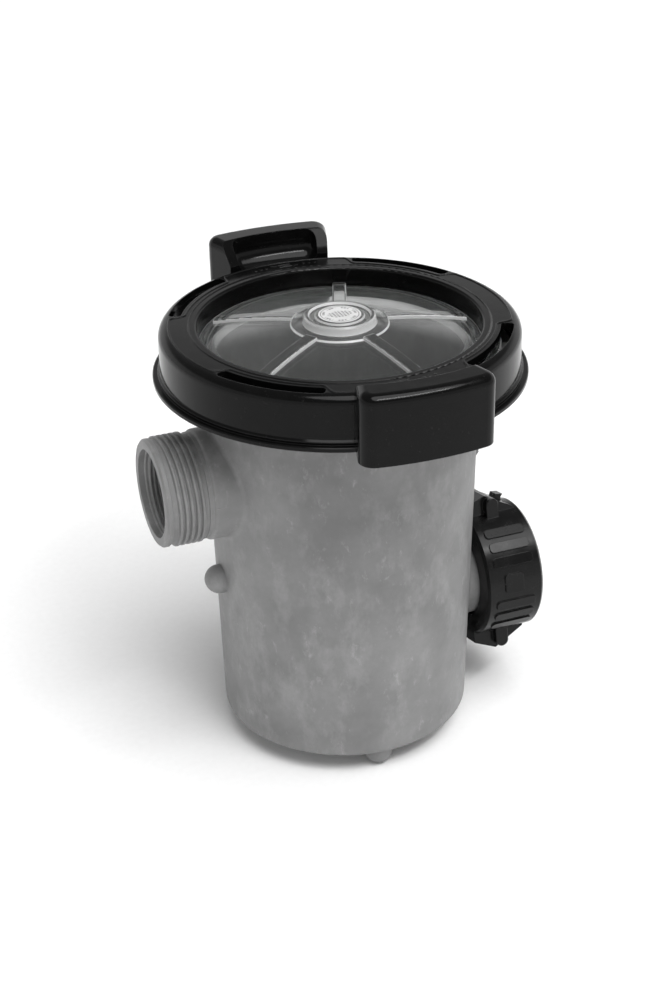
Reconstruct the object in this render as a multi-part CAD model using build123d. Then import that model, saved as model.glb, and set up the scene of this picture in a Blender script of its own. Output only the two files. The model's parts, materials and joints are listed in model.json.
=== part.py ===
from build123d import *
import os
from math import cos, degrees, pi, radians, sin, sqrt

# Basket strainer for a pool or spa pump line: a moulded pot with a threaded inlet, a union outlet,
# a clear lid clamped by a quarter-turn ring, and a lift-out basket with a folding bail.
# Millimetres. +Z is up, and the origin is the centre of the pot's flat base.
# The inlet points along -X, the outlet along +X, and the ring's handles stand at -Y and +Y.

# Pot
BASE_R = 70.6
POT_TOP_R = 74.8
POT_SHOULDER_Z = 200.0
WALL = 4.0
FLOOR = 5.0
BASE_FILLET = 2.6
FLANGE_R = 86.0
FLANGE_TOP_Z = 219.0
FLANGE_THICK = 8.0
BODY_LUG_R = 91.8
BODY_LUG_BOTTOM_Z = 213.0
BODY_LUG_THICK = 5.0
LUG_SPAN = 38.0
LUG_COUNT = 4
GROOVE_DEPTH = 3.5
SADDLE_ROUND = 3.0
BLANK_BOSS_R = 8.2
SIDE_BOSS_Z = 92.0
SIDE_BOSS_TIP = 82.5
BASE_BOSS_AT_R = 60.0
BASE_BOSS_ANGLE = 266.0
BASE_BOSS_DROP = 12.0
GUSSET_REACH = 8.0
GUSSET_BOTTOM_Z = 134.0
GUSSET_THICK = 5.0
BASKET_RIB_COUNT = 8
BASKET_RIB_THICK = 3.2

# Inlet: 1-1/2 inch pipe thread inside, coarse union thread outside
INLET_Z = 153.0
INLET_REACH = 109.4
INLET_LAND_R = 29.5
INLET_LAND = 3.2
INLET_CHAMFER = 1.2
INLET_ROOT_R = 28.5
INLET_CREST_R = 30.15
INLET_THREAD = 20.4
UNION_PITCH = 3.175
INLET_COLLAR = 3.0
INLET_COLLAR_R = 29.2
INLET_NECK_R = 30.3
MOUTH_R = 24.0
MOUTH_DEPTH = 3.4
PIPE_MINOR_R = 22.2
PIPE_MAJOR_R = 23.5
PIPE_PITCH = 2.209
PIPE_THREAD = 22.0
INLET_BORE_R = 20.0

# Outlet: plain neck and tail flange, held by a split union nut
OUTLET_Z = 61.5
OUTLET_NECK_R = 24.6
OUTLET_BORE_R = 19.5
TAIL_R = 28.0
TAIL_BACK_X = 82.6
TAIL_FACE_X = 90.6
TAIL_GROOVE_R = 23.6
TAIL_RING_R = 1.8
NUT_R = 38.0
NUT_BACK_X = 74.5
NUT_FRONT_X = 110.0
NUT_BACK_WALL = 7.8
NUT_HOLE_R = 26.0
NUT_MINOR_R = 28.7
NUT_MAJOR_R = 30.6
NUT_TURN_AT_REST = -13.3
NUT_LUG_TOP = 47.0
NUT_LUG_PEAK_X = 87.7
NUT_LUG_END_X = 106.0
NUT_LUG_THICK = 12.5
NUT_LUG_FOOT = 33.0
CATCH_X = 90.5
CATCH_HEAD = 45.6
CATCH_WIDTH = 8.0
CATCH_DEPTH = 4.4
HOOK_X = 100.5
HOOK_TOP = 43.8
HOOK_THICK = 4.0
GRIP_BAR_LENGTH = 24.6
GRIP_BAR_WIDTH = 5.8
GRIP_BAR_RISE = 0.9
GRIP_BAR_MIDDLE_X = 92.2
GRIP_BAR_STEP = 40.0 / 3
GRIP_BAR_SINK = 1.5
GRIP_BAR_FIRST = 130.0 / 3
GRIP_BAR_SLOTS = (0, 1, 2, 5, 6, 7)
NUT_PAD_SLOT = 3.5
NUT_PAD_SIZE = 11.5
NUT_PAD_X = 91.0

# Lid
LID_R = 85.6
LID_SEAT_GAP = 0.3
LID_RIM_TOP_Z = 224.0
LID_DOME_R = 72.0
LID_DOME_EDGE_Z = 224.6
LID_DOME_RISE = 8.4
LID_THICK = 4.0
LID_SKIRT_R = 69.4
LID_SKIRT_THICK = 3.0
LID_SKIRT_BOTTOM_Z = 213.5
HUB_BASE_R = 26.4
HUB_R = 19.2
HUB_TOP_Z = 237.0
LID_RIB_COUNT = 5
LID_RIB_FIRST = 68.3
LID_RIB_WIDTH = 7.4
LID_RIB_RISE = 2.0
LABEL_R = 11.4
LABEL_THICK = 0.25
SEAL_CENTRE_R = 78.0
SEAL_SECTION_R = 2.5

# Lock ring
RING_TOP_Z = 234.0
RING_WALL_R = 96.4
RING_WALL_TOP_R = 96.2
RING_LIP_R = 100.4
RING_LIP_BOTTOM_Z = 206.0
RING_LIP_THICK = 2.6
RING_BORE_R = 75.5
RING_SKIN = 4.0
RING_TOP_ROUND = 5.5
RING_TURN_AT_REST = -0.5
RING_LUG_INNER_R = 87.0
RING_LUG_TOP_Z = 212.7
RING_LUG_BOTTOM_Z = 206.6
SLOT_INNER_R = 85.0
SLOT_OUTER_R = 91.8
SLOT_SPAN = 38.0
SLOT_CORNER = 2.4
PAD_OUTER_R = 91.0
PAD_NECK_R = 83.2
PAD_SPAN = 46.0
PAD_S_SPAN = 5.0
INNER_BEAD_R = 80.0
BEAD_WIDTH = 0.9
BEAD_RISE = 0.45
BEAD_SINK = 0.4
MARK_RISE = 0.4
HANDLE_FACE_OUT = 123.4
HANDLE_FACE_R = 170.0
HANDLE_HALF_SPAN = 17.5
HANDLE_INNER_R = 109.0
HANDLE_BOTTOM_Z = 209.3
HANDLE_TOP_Z = 246.2
HANDLE_ROOT_R = 94.0
HANDLE_CORNER = 8.0
HANDLE_TOP_ROUND = 5.0
HANDLE_CORE_WALL = 3.6
SCOOP_HALF_SPAN = 14.0
SCOOP_FLOOR_Z = 229.5
SCOOP_ROUND = 9.0
SCOOP_END_ROUND = 6.5
SHOULDER_R = 98.0
SHOULDER_Z = 234.6
SHOULDER_BULGE = 1.2

# Basket
BASKET_RIM_R = 67.0
BASKET_RIM_BOTTOM_Z = 118.0
BASKET_RIM_THICK = 3.0
BASKET_TOP_R = 60.6
BASKET_FOOT_R = 56.5
BASKET_FOOT_Z = 9.0
BASKET_WALL = 2.4
BASKET_SLOT_COLUMNS = 30
BASKET_SLOT_TIERS = 3
BASKET_SLOT_WIDTH = 3.6
BASKET_SLOT_HEIGHT = 26.0
BASKET_SLOT_FIRST_Z = 32.0
BASKET_SLOT_STEP_Z = 32.0
FLOOR_HOLE_R = 2.2
FLOOR_HOLE_RINGS = 5
FLOOR_HOLE_STEP = 9.6
EAR_THICK = 3.0
EAR_OUTER_R = 61.4
EAR_WIDTH = 9.0
BAIL_Z = 124.2
BAIL_R = 64.0
BAIL_ROD_R = 1.9
BAIL_PIN_R = 1.7
EAR_HOLE_R = 2.0
BAIL_PIN_INNER = 56.6

RUN_GAP = 0.3


def turned(*points):
    """Solid of revolution about Z of a closed outline of (radius, height) points."""
    return revolve(Plane.XZ * make_face(Polyline(*points, close=True)), Axis.Z)


def sector(inner, outer, start, stop, bottom, top):
    """Part of a flat ring between two angles in degrees."""
    ring = Circle(outer) - Circle(inner)
    far = 2 * outer
    mid = (start + stop) / 2
    half = (stop - start) / 2
    corner = (far * cos(radians(half)), far * sin(radians(half)))
    wedge = make_face(Polyline((0, 0), (corner[0], -corner[1]), corner, close=True))
    return Pos(0, 0, bottom) * extrude(ring & (Rot(0, 0, mid) * wedge), top - bottom)


def along(direction, height):
    """Frame of a port whose own Z axis runs along +X (1) or -X (-1) at a height."""
    return Plane(origin=(0, 0, height), x_dir=(0, 1, 0), z_dir=(direction, 0, 0))


def thread(root, crest, pitch, start, length, turn=40):
    """Helical ridge on a cylinder; the ridge runs inward if the crest is smaller than the root."""
    sink = 0.4 if crest > root else -0.4
    foot_r = root - sink
    foot = pitch * 0.44
    tip = pitch * 0.17
    rise = crest - foot_r
    outline = Polyline((0, -foot), (rise, -tip), (rise, tip), (0, foot), close=True)
    section = Plane(origin=(foot_r, 0, 0), x_dir=(1, 0, 0), z_dir=(0, -1, 0)) * make_face(outline)
    ridge = sweep(section, path=Helix(pitch, length - pitch, foot_r), is_frenet=True)
    return Pos(0, 0, start + pitch / 2) * Rot(0, 0, turn) * ridge


def pot_outer_radius(height):
    """Outer radius of the drafted pot wall."""
    return BASE_R + (POT_TOP_R - BASE_R) * height / POT_SHOULDER_Z


def pot_shell():
    """Drafted outer form with the lid flange, still solid inside."""
    flange_under = FLANGE_TOP_Z - FLANGE_THICK
    shell = turned(
        (0, 0), (BASE_R, 0), (POT_TOP_R, POT_SHOULDER_Z), (FLANGE_R, flange_under),
        (FLANGE_R, FLANGE_TOP_Z), (0, FLANGE_TOP_Z))
    return fillet(shell.edges().group_by(Axis.Z)[0], BASE_FILLET)


def inlet_outside():
    """Neck, collar, thread root and plain land of the inlet, along its own Z axis."""
    collar_end = INLET_REACH - INLET_LAND - INLET_THREAD
    neck_end = collar_end - INLET_COLLAR
    step = 0.9
    return turned(
        (0, 40), (INLET_NECK_R + 0.9, 40), (INLET_NECK_R, neck_end - step),
        (INLET_NECK_R - 0.3, neck_end), (INLET_COLLAR_R, neck_end + step),
        (INLET_COLLAR_R, collar_end), (INLET_ROOT_R, collar_end + 0.4),
        (INLET_ROOT_R, INLET_REACH - INLET_LAND - 0.4), (INLET_LAND_R, INLET_REACH - INLET_LAND),
        (INLET_LAND_R, INLET_REACH - INLET_CHAMFER), (INLET_LAND_R - INLET_CHAMFER, INLET_REACH),
        (0, INLET_REACH))


def inlet_inside():
    """Bore, pipe thread and mouth that are cut from the inlet."""
    start = INLET_REACH - MOUTH_DEPTH
    end = start - PIPE_THREAD
    return turned(
        (0, 60), (INLET_BORE_R, 60), (INLET_BORE_R, end - 2), (PIPE_MAJOR_R, end),
        (PIPE_MAJOR_R, start - 0.6), (MOUTH_R, start), (MOUTH_R, INLET_REACH + 5),
        (0, INLET_REACH + 5))


def outlet_outside():
    """Neck and tail flange of the outlet with its sealing groove, along its own Z axis."""
    neck_from = 60
    tail = turned(
        (0, neck_from), (OUTLET_NECK_R, neck_from), (OUTLET_NECK_R, TAIL_BACK_X),
        (TAIL_R, TAIL_BACK_X), (TAIL_R, TAIL_FACE_X - 0.6), (TAIL_R - 0.6, TAIL_FACE_X),
        (0, TAIL_FACE_X))
    half_width = TAIL_RING_R + 0.15
    depth = 2 * TAIL_RING_R - 0.8
    groove = turned(
        (TAIL_GROOVE_R - half_width, TAIL_FACE_X - depth),
        (TAIL_GROOVE_R + half_width, TAIL_FACE_X - depth),
        (TAIL_GROOVE_R + half_width, TAIL_FACE_X + 1),
        (TAIL_GROOVE_R - half_width, TAIL_FACE_X + 1))
    return tail - groove


def blank_bosses():
    """Round-nosed undrilled bosses on the side and under the base."""
    side_centre = SIDE_BOSS_TIP - BLANK_BOSS_R
    side = Plane(origin=(-side_centre, 0, SIDE_BOSS_Z), z_dir=(1, 0, 0))
    nose = side * (Sphere(BLANK_BOSS_R) + Pos(0, 0, 4) * Cylinder(BLANK_BOSS_R, 8))
    base_x = BASE_BOSS_AT_R * cos(radians(BASE_BOSS_ANGLE))
    base_y = BASE_BOSS_AT_R * sin(radians(BASE_BOSS_ANGLE))
    centre_z = BLANK_BOSS_R - BASE_BOSS_DROP
    low = Sphere(BLANK_BOSS_R) + Pos(0, 0, 3) * Cylinder(BLANK_BOSS_R, 6)
    return [nose, Pos(base_x, base_y, centre_z) * low]


def gusset():
    """Vertical rib under the flange on the outlet side."""
    inner = POT_TOP_R - WALL / 2
    outer = POT_TOP_R + GUSSET_REACH
    top = FLANGE_TOP_Z - FLANGE_THICK + 2
    outline = Polyline(
        (inner, GUSSET_BOTTOM_Z - 4), (POT_TOP_R, GUSSET_BOTTOM_Z - 4), (outer, GUSSET_BOTTOM_Z + 6),
        (outer, top), (inner, top), close=True)
    return extrude(Plane.XZ * make_face(outline), GUSSET_THICK / 2, both=True)


def pot_cavity():
    """Inside of the pot, the mouth and the lid-seal groove."""
    floor_r = pot_outer_radius(FLOOR) - WALL
    mouth_r = POT_TOP_R - WALL
    hollow = turned((0, FLOOR), (floor_r, FLOOR), (mouth_r, POT_SHOULDER_Z),
                    (mouth_r + 0.3, FLANGE_TOP_Z + 1), (0, FLANGE_TOP_Z + 1))
    half_width = SEAL_SECTION_R + 0.4
    groove = turned(
        (SEAL_CENTRE_R - half_width, FLANGE_TOP_Z - GROOVE_DEPTH),
        (SEAL_CENTRE_R + half_width, FLANGE_TOP_Z - GROOVE_DEPTH),
        (SEAL_CENTRE_R + half_width, FLANGE_TOP_Z + 1),
        (SEAL_CENTRE_R - half_width, FLANGE_TOP_Z + 1))
    return [hollow, groove]


def body_lugs():
    """Bayonet lugs outside the lid flange."""
    top = BODY_LUG_BOTTOM_Z + BODY_LUG_THICK
    return [
        sector(FLANGE_R - 1, BODY_LUG_R, 90 * n - LUG_SPAN / 2, 90 * n + LUG_SPAN / 2,
               BODY_LUG_BOTTOM_Z, top)
        for n in range(LUG_COUNT)]


def basket_ribs():
    """Upright ribs inside the pot that carry the basket's rim."""
    top = BASKET_RIM_BOTTOM_Z - RUN_GAP
    outline = Polyline(
        (BASKET_TOP_R + 1.2, top), (BASKET_TOP_R + 1.2, 40), (BASE_R - WALL - 3, FLOOR - 1),
        (BASE_R - WALL / 2, FLOOR - 1), (BASE_R, top), close=True)
    rib = extrude(Plane.XZ * make_face(outline), BASKET_RIB_THICK / 2, both=True)
    step = 360 / BASKET_RIB_COUNT
    return [Rot(0, 0, step * (n + 0.5)) * rib for n in range(BASKET_RIB_COUNT)]


def near_saddle(edge, x, z, reach):
    """True for an edge of the joint between a port's neck and the pot wall."""
    centre = edge.bounding_box().center()
    size = edge.bounding_box().size
    level = edge.geom_type != GeomType.CIRCLE and size.Z > reach and size.Y > reach / 3
    return level and abs(centre.Z - z) < reach and centre.X * x > 0


def strainer_body():
    """Pot with both ports, lugs, bosses and basket ribs."""
    body = pot_shell() + along(-1, INLET_Z) * inlet_outside()
    body = body + along(1, OUTLET_Z) * outlet_outside()
    saddles = body.edges().filter_by(
        lambda e: near_saddle(e, -1, INLET_Z, 30) or near_saddle(e, 1, OUTLET_Z, 22))
    body = fillet(saddles, SADDLE_ROUND)
    body = body + blank_bosses() + [gusset()] + body_lugs()
    body = body - pot_cavity()
    outlet_bore = Pos(0, 0, 80) * Cylinder(OUTLET_BORE_R, 60)
    body = body - along(-1, INLET_Z) * inlet_inside() - along(1, OUTLET_Z) * outlet_bore
    body = body + basket_ribs()
    outside = thread(INLET_ROOT_R, INLET_CREST_R, UNION_PITCH,
                     INLET_REACH - INLET_LAND - INLET_THREAD + 0.6, INLET_THREAD - 0.8)
    inside = thread(PIPE_MAJOR_R, PIPE_MINOR_R, PIPE_PITCH,
                    INLET_REACH - MOUTH_DEPTH - PIPE_THREAD + 0.5, PIPE_THREAD - 1.2)
    return body + along(-1, INLET_Z) * outside + along(-1, INLET_Z) * inside


def dome_height(radius, drop=0.0):
    """Height of the lid's dome at a radius, measured on a skin lying lower by drop."""
    ball = (LID_DOME_R ** 2 + LID_DOME_RISE ** 2) / (2 * LID_DOME_RISE)
    centre = LID_DOME_EDGE_Z + LID_DOME_RISE - ball
    return centre + sqrt((ball - drop) ** 2 - radius ** 2)


def dome_arc(outer, inner, drop=0.0):
    """Arc of the dome's section from an outer to an inner radius."""
    middle = (outer + inner) / 2
    return ThreePointArc((outer, dome_height(outer, drop)), (middle, dome_height(middle, drop)),
                         (inner, dome_height(inner, drop)))


def lid():
    """Clear domed lid with a clamping rim, a locating skirt, five ribs and a raised hub."""
    seat = FLANGE_TOP_Z + LID_SEAT_GAP
    inner_skirt = LID_SKIRT_R - LID_SKIRT_THICK
    hub_base = dome_height(HUB_BASE_R) + 0.9
    outline = [
        dome_arc(LID_DOME_R, HUB_BASE_R),
        Polyline((HUB_BASE_R, dome_height(HUB_BASE_R)), (HUB_BASE_R - 0.6, hub_base),
                 (HUB_R + 0.5, hub_base), (HUB_R, HUB_TOP_Z - 0.8), (HUB_R - 0.8, HUB_TOP_Z + 0.3),
                 (HUB_R - 2.4, HUB_TOP_Z + 0.3), (HUB_R - 3.0, HUB_TOP_Z - 0.9),
                 (LABEL_R + 2.0, HUB_TOP_Z - 0.9), (LABEL_R + 1.4, HUB_TOP_Z), (0, HUB_TOP_Z),
                 (0, HUB_TOP_Z - LID_THICK), (HUB_R - 3.4, HUB_TOP_Z - LID_THICK),
                 (HUB_R - 3.0, dome_height(HUB_R, LID_THICK))),
        Line((HUB_R - 3.0, dome_height(HUB_R, LID_THICK)),
             (HUB_R, dome_height(HUB_R, LID_THICK))),
        dome_arc(HUB_R, inner_skirt, LID_THICK),
        Polyline((inner_skirt, dome_height(inner_skirt, LID_THICK)),
                 (inner_skirt, LID_SKIRT_BOTTOM_Z), (LID_SKIRT_R - 0.6, LID_SKIRT_BOTTOM_Z),
                 (LID_SKIRT_R, LID_SKIRT_BOTTOM_Z + 1.2), (LID_SKIRT_R, seat), (LID_R, seat),
                 (LID_R, LID_RIM_TOP_Z - 0.6), (LID_R - 0.6, LID_RIM_TOP_Z),
                 (LID_DOME_R + 1.4, LID_RIM_TOP_Z), (LID_DOME_R, dome_height(LID_DOME_R)))]
    shell = revolve(Plane.XZ * make_face(outline), Axis.Z)
    half_width = SEAL_SECTION_R + 0.15
    groove = turned(
        (SEAL_CENTRE_R - half_width, seat - 1), (SEAL_CENTRE_R + half_width, seat - 1),
        (SEAL_CENTRE_R + half_width, seat + 1.6), (SEAL_CENTRE_R - half_width, seat + 1.6))
    shell = shell - groove
    step = 360 / LID_RIB_COUNT
    ribs = [Rot(0, 0, LID_RIB_FIRST + step * n) * lid_rib() for n in range(LID_RIB_COUNT)]
    return shell + ribs


def lid_rib():
    """One raised rib that follows the dome from the hub to the rim, along +X."""
    inner = HUB_BASE_R - 1
    outer = LID_DOME_R - 1.2
    upper = ThreePointArc(
        (outer, dome_height(outer) + LID_RIB_RISE),
        ((inner + outer) / 2, dome_height((inner + outer) / 2) + LID_RIB_RISE),
        (inner, dome_height(inner) + LID_RIB_RISE))
    lower = dome_arc(outer, inner, 1.0)
    sides = [Line(upper @ 0, lower @ 0), Line(upper @ 1, lower @ 1)]
    web = extrude(Plane.XZ * make_face([upper, lower] + sides), LID_RIB_WIDTH / 2, both=True)
    rim_edges = web.edges().filter_by(GeomType.CIRCLE).group_by(Axis.Z)[-1]
    return fillet(rim_edges, 0.8)


def lid_seal():
    """Round sealing ring, flattened on top where it sits in the lid's groove."""
    roof = FLANGE_TOP_Z + LID_SEAT_GAP + 1.6
    centre = roof - SEAL_SECTION_R + 0.1
    hoop = Pos(0, 0, centre) * Torus(SEAL_CENTRE_R, SEAL_SECTION_R)
    return hoop & Pos(0, 0, roof - 5) * Cylinder(LID_R, 10)


def lid_label():
    """Thin round label on the hub."""
    return Pos(0, 0, HUB_TOP_Z + LABEL_THICK / 2) * Cylinder(LABEL_R, LABEL_THICK)


def ring_shell():
    """Ring section: bore wall, top plate, rounded shoulder, drafted skirt and stepped lip."""
    lip_top = RING_LIP_BOTTOM_Z + RING_LIP_THICK
    under_z = RING_TOP_Z - RING_SKIN
    bore_foot = LID_RIM_TOP_Z + RUN_GAP
    shoulder = RING_TOP_ROUND * sin(pi / 4)
    turn = RING_TOP_ROUND
    skirt_in = RING_WALL_R - RING_SKIN
    outline = [
        Polyline((RING_BORE_R, bore_foot), (RING_BORE_R, RING_TOP_Z - 1.4)),
        ThreePointArc((RING_BORE_R, RING_TOP_Z - 1.4), (RING_BORE_R + 0.41, RING_TOP_Z - 0.41),
                      (RING_BORE_R + 1.4, RING_TOP_Z)),
        Line((RING_BORE_R + 1.4, RING_TOP_Z), (RING_WALL_TOP_R - turn, RING_TOP_Z)),
        ThreePointArc((RING_WALL_TOP_R - turn, RING_TOP_Z),
                      (RING_WALL_TOP_R - turn + shoulder, RING_TOP_Z - turn + shoulder),
                      (RING_WALL_TOP_R, RING_TOP_Z - turn)),
        Polyline((RING_WALL_TOP_R, RING_TOP_Z - turn), (RING_WALL_R, lip_top + 2.6),
                 (RING_WALL_R + 1.2, lip_top + 1.6), (RING_WALL_R + 1.2, lip_top),
                 (RING_LIP_R - 0.5, lip_top), (RING_LIP_R, lip_top - 0.5),
                 (RING_LIP_R, RING_LIP_BOTTOM_Z + 0.4), (RING_LIP_R - 0.4, RING_LIP_BOTTOM_Z),
                 (skirt_in, RING_LIP_BOTTOM_Z), (skirt_in, under_z),
                 (RING_BORE_R + RING_SKIN, under_z), (RING_BORE_R + RING_SKIN, bore_foot),
                 (RING_BORE_R, bore_foot))]
    return revolve(Plane.XZ * make_face(outline), Axis.Z)


def ring_slot():
    """Kidney-shaped opening through the top plate, centred on +X."""
    half = SLOT_SPAN / 2
    cut = sector(SLOT_INNER_R, SLOT_OUTER_R, -half, half, RING_TOP_Z - 10, RING_TOP_Z + 2)
    return fillet(cut.edges().filter_by(Axis.Z), SLOT_CORNER)


def polar(radius, angle):
    """Point in the plane from a radius and an angle in degrees."""
    return (radius * cos(radians(angle)), radius * sin(radians(angle)))


def wave_face(inset):
    """Plan bounded by a line that swings out round each pad and in beside each slot."""
    outer_r = PAD_OUTER_R - inset
    neck_r = PAD_NECK_R - inset
    full = PAD_SPAN / 2 - degrees(inset / PAD_OUTER_R)
    slim = full + PAD_S_SPAN
    pad = ThreePointArc(polar(outer_r, -full), (outer_r, 0), polar(outer_r, full))
    neck = ThreePointArc(polar(neck_r, slim), polar(neck_r, 45), polar(neck_r, 90 - slim))
    swing_in = Spline(polar(outer_r, full), polar(neck_r, slim),
                      tangents=[polar(1, full + 90), polar(1, slim + 90)])
    swing_out = Spline(polar(neck_r, 90 - slim), polar(outer_r, 90 - full),
                       tangents=[polar(1, 180 - slim), polar(1, 180 - full)])
    quarter = [pad, swing_in, neck, swing_out]
    return make_face([Rot(0, 0, 90 * n) * piece for n in range(LUG_COUNT) for piece in quarter])


def top_beads():
    """Raised lines on the ring's top: a wavy one round pads and slots, and a round one inside it."""
    border = wave_face(0) - wave_face(BEAD_WIDTH)
    wavy = extrude(border, BEAD_RISE + BEAD_SINK)
    wavy = Pos(0, 0, RING_TOP_Z - BEAD_SINK) * fillet(wavy.edges().group_by(Axis.Z)[-1], BEAD_RISE / 2)
    return [wavy, Pos(0, 0, RING_TOP_Z) * Torus(INNER_BEAD_R, BEAD_WIDTH / 2)]


def turn_arrow(side):
    """Raised arrow on a pad beside the handle; side is 1 or -1."""
    middle_r = (INNER_BEAD_R + PAD_OUTER_R) / 2 + side * 1.4
    shaft = sector(middle_r - 0.5, middle_r + 0.5, -2.4, 2.4,
                   RING_TOP_Z - BEAD_SINK, RING_TOP_Z + MARK_RISE)
    tip = middle_r * radians(3.0)
    head = make_face(Polyline((middle_r - 1.4, 0), (middle_r + 1.4, 0), (middle_r, 3.4), close=True))
    head = Pos(0, tip, RING_TOP_Z - BEAD_SINK) * extrude(head, BEAD_SINK + MARK_RISE)
    arrow = shaft + head
    return arrow if side > 0 else mirror(arrow, Plane.XZ)


def pad_dots(side):
    """Raised dots that stand at each end of the arrows: open on one side, closed on the other."""
    count = 3
    middle_r = (INNER_BEAD_R + PAD_OUTER_R) / 2
    dots = []
    for n in range(count):
        x, y = polar(middle_r, side * (7.5 + 2.2 * n))
        dots.append(Pos(x, y, RING_TOP_Z) * Cylinder(0.9 if side > 0 else 0.7, 2 * MARK_RISE))
    return dots


def handle_block():
    """Plan of one handle, on +X: curved face, radial ends and rounded corners."""
    half = HANDLE_HALF_SPAN
    centre = HANDLE_FACE_OUT - HANDLE_FACE_R
    face_circle = Pos(centre, 0) * Circle(HANDLE_FACE_R)
    far = 200
    wedge = make_face(Polyline((0, 0), polar(far, -half), polar(far, half), close=True))
    plan = (face_circle & wedge) - Circle(HANDLE_ROOT_R)
    block = Pos(0, 0, HANDLE_BOTTOM_Z) * extrude(plan, HANDLE_TOP_Z - HANDLE_BOTTOM_Z)
    corners = block.edges().filter_by(Axis.Z).sort_by(lambda e: e.center().X)[-2:]
    block = fillet(corners, HANDLE_CORNER)
    top_rim = block.faces().sort_by(Axis.Z)[-1].edges().filter_by(
        lambda e: e.center().X > HANDLE_ROOT_R + 4)
    return fillet(top_rim, HANDLE_TOP_ROUND)


def shoulder_cut():
    """Space above the rounded shoulders that run down from the handle's top to the ring."""
    rise = HANDLE_TOP_Z - SHOULDER_Z
    run = HANDLE_INNER_R - SHOULDER_R
    slope = sqrt(rise ** 2 + run ** 2)
    bend = (SHOULDER_R + run / 2 - SHOULDER_BULGE * rise / slope,
            SHOULDER_Z + rise / 2 + SHOULDER_BULGE * run / slope)
    outline = [
        Polyline((HANDLE_INNER_R, HANDLE_TOP_Z), (HANDLE_INNER_R, HANDLE_TOP_Z + 5),
                 (HANDLE_ROOT_R - 2, HANDLE_TOP_Z + 5), (HANDLE_ROOT_R - 2, SHOULDER_Z - 4),
                 (SHOULDER_R, SHOULDER_Z - 4), (SHOULDER_R, SHOULDER_Z)),
        ThreePointArc((SHOULDER_R, SHOULDER_Z), bend, (HANDLE_INNER_R, HANDLE_TOP_Z))]
    return revolve(Plane.XZ * make_face(outline), Axis.Z)


def scoop():
    """Dished finger recess between the shoulders of a handle on +X."""
    low = SCOOP_FLOOR_Z
    turn = SCOOP_ROUND
    bend = turn * (1 - cos(pi / 4))
    outline = [
        Polyline((HANDLE_INNER_R, low + turn), (HANDLE_INNER_R, HANDLE_TOP_Z + 5),
                 (HANDLE_ROOT_R - 6, HANDLE_TOP_Z + 5), (HANDLE_ROOT_R - 6, low),
                 (HANDLE_INNER_R - turn, low)),
        ThreePointArc((HANDLE_INNER_R - turn, low), (HANDLE_INNER_R - bend, low + bend),
                      (HANDLE_INNER_R, low + turn))]
    sweep_angle = 2 * SCOOP_HALF_SPAN
    tool = revolve(Plane.XZ * make_face(outline), Axis.Z, sweep_angle)
    tool = Rot(0, 0, -SCOOP_HALF_SPAN) * tool
    ends = tool.faces().filter_by(GeomType.PLANE).filter_by(lambda f: abs(f.normal_at().Z) < 0.5)
    rims = ends.edges().filter_by(
        lambda e: e.center().Z < HANDLE_TOP_Z + 3 and e.center().X > HANDLE_ROOT_R - 6)
    return fillet(rims, SCOOP_END_ROUND)


def handle():
    """One lever handle on +X, cored from below."""
    block = handle_block() - shoulder_cut() - scoop()
    half = degrees(radians(HANDLE_HALF_SPAN) - HANDLE_CORE_WALL / HANDLE_INNER_R)
    centre = HANDLE_FACE_OUT - HANDLE_FACE_R
    core_plan = Pos(centre, 0) * Circle(HANDLE_FACE_R - HANDLE_CORE_WALL)
    wedge = make_face(Polyline((0, 0), polar(200, -half), polar(200, half), close=True))
    core_plan = (core_plan & wedge) - Circle(HANDLE_INNER_R + HANDLE_CORE_WALL)
    tall = HANDLE_TOP_Z - HANDLE_BOTTOM_Z - HANDLE_CORE_WALL
    core = Pos(0, 0, HANDLE_BOTTOM_Z - 1) * extrude(core_plan, tall + 1)
    low_plan = (Pos(centre, 0) * Circle(HANDLE_FACE_R - HANDLE_CORE_WALL) & wedge)
    low_plan = low_plan - Circle(RING_WALL_R + HANDLE_CORE_WALL)
    low_tall = SCOOP_FLOOR_Z - HANDLE_BOTTOM_Z - HANDLE_CORE_WALL
    low_core = Pos(0, 0, HANDLE_BOTTOM_Z - 1) * extrude(low_plan, low_tall + 1)
    return block - core - low_core


def ring_lugs():
    """Inner bayonet lugs under the slots."""
    outer = RING_WALL_R - RING_SKIN + 0.6
    half = LUG_SPAN / 2
    return [
        sector(RING_LUG_INNER_R, outer, 45 + 90 * n - half, 45 + 90 * n + half,
               RING_LUG_BOTTOM_Z, RING_LUG_TOP_Z)
        for n in range(LUG_COUNT)]


def lock_ring():
    """Quarter-turn clamping ring with two lever handles."""
    ring = ring_shell() - [Rot(0, 0, 45 + 90 * n) * ring_slot() for n in range(LUG_COUNT)]
    ring = ring + [Rot(0, 0, angle) * handle() for angle in (90, 270)]
    ring = ring + ring_lugs()
    ring = ring + top_beads()
    marks = [turn_arrow(1), turn_arrow(-1)] + pad_dots(1) + pad_dots(-1)
    ring = ring + [Rot(0, 0, angle) * mark for angle in (90, 270) for mark in marks]
    return Rot(0, 0, RING_TURN_AT_REST) * ring


def basket_slots():
    """Cutting bars for the tiers of upright slots in the basket's wall."""
    tools = []
    for tier in range(BASKET_SLOT_TIERS):
        height = BASKET_SLOT_FIRST_Z + BASKET_SLOT_STEP_Z * tier
        for column in range(BASKET_SLOT_COLUMNS):
            angle = 360 / BASKET_SLOT_COLUMNS * column
            plane = Plane(origin=(0, 0, height), x_dir=(0, 1, 0), z_dir=(1, 0, 0))
            slot = plane * SlotOverall(BASKET_SLOT_HEIGHT, BASKET_SLOT_WIDTH, rotation=90)
            bar = Pos(BASKET_FOOT_R - 8, 0, 0) * extrude(slot, 20)
            tools.append(Rot(0, 0, angle) * bar)
    return tools


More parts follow.
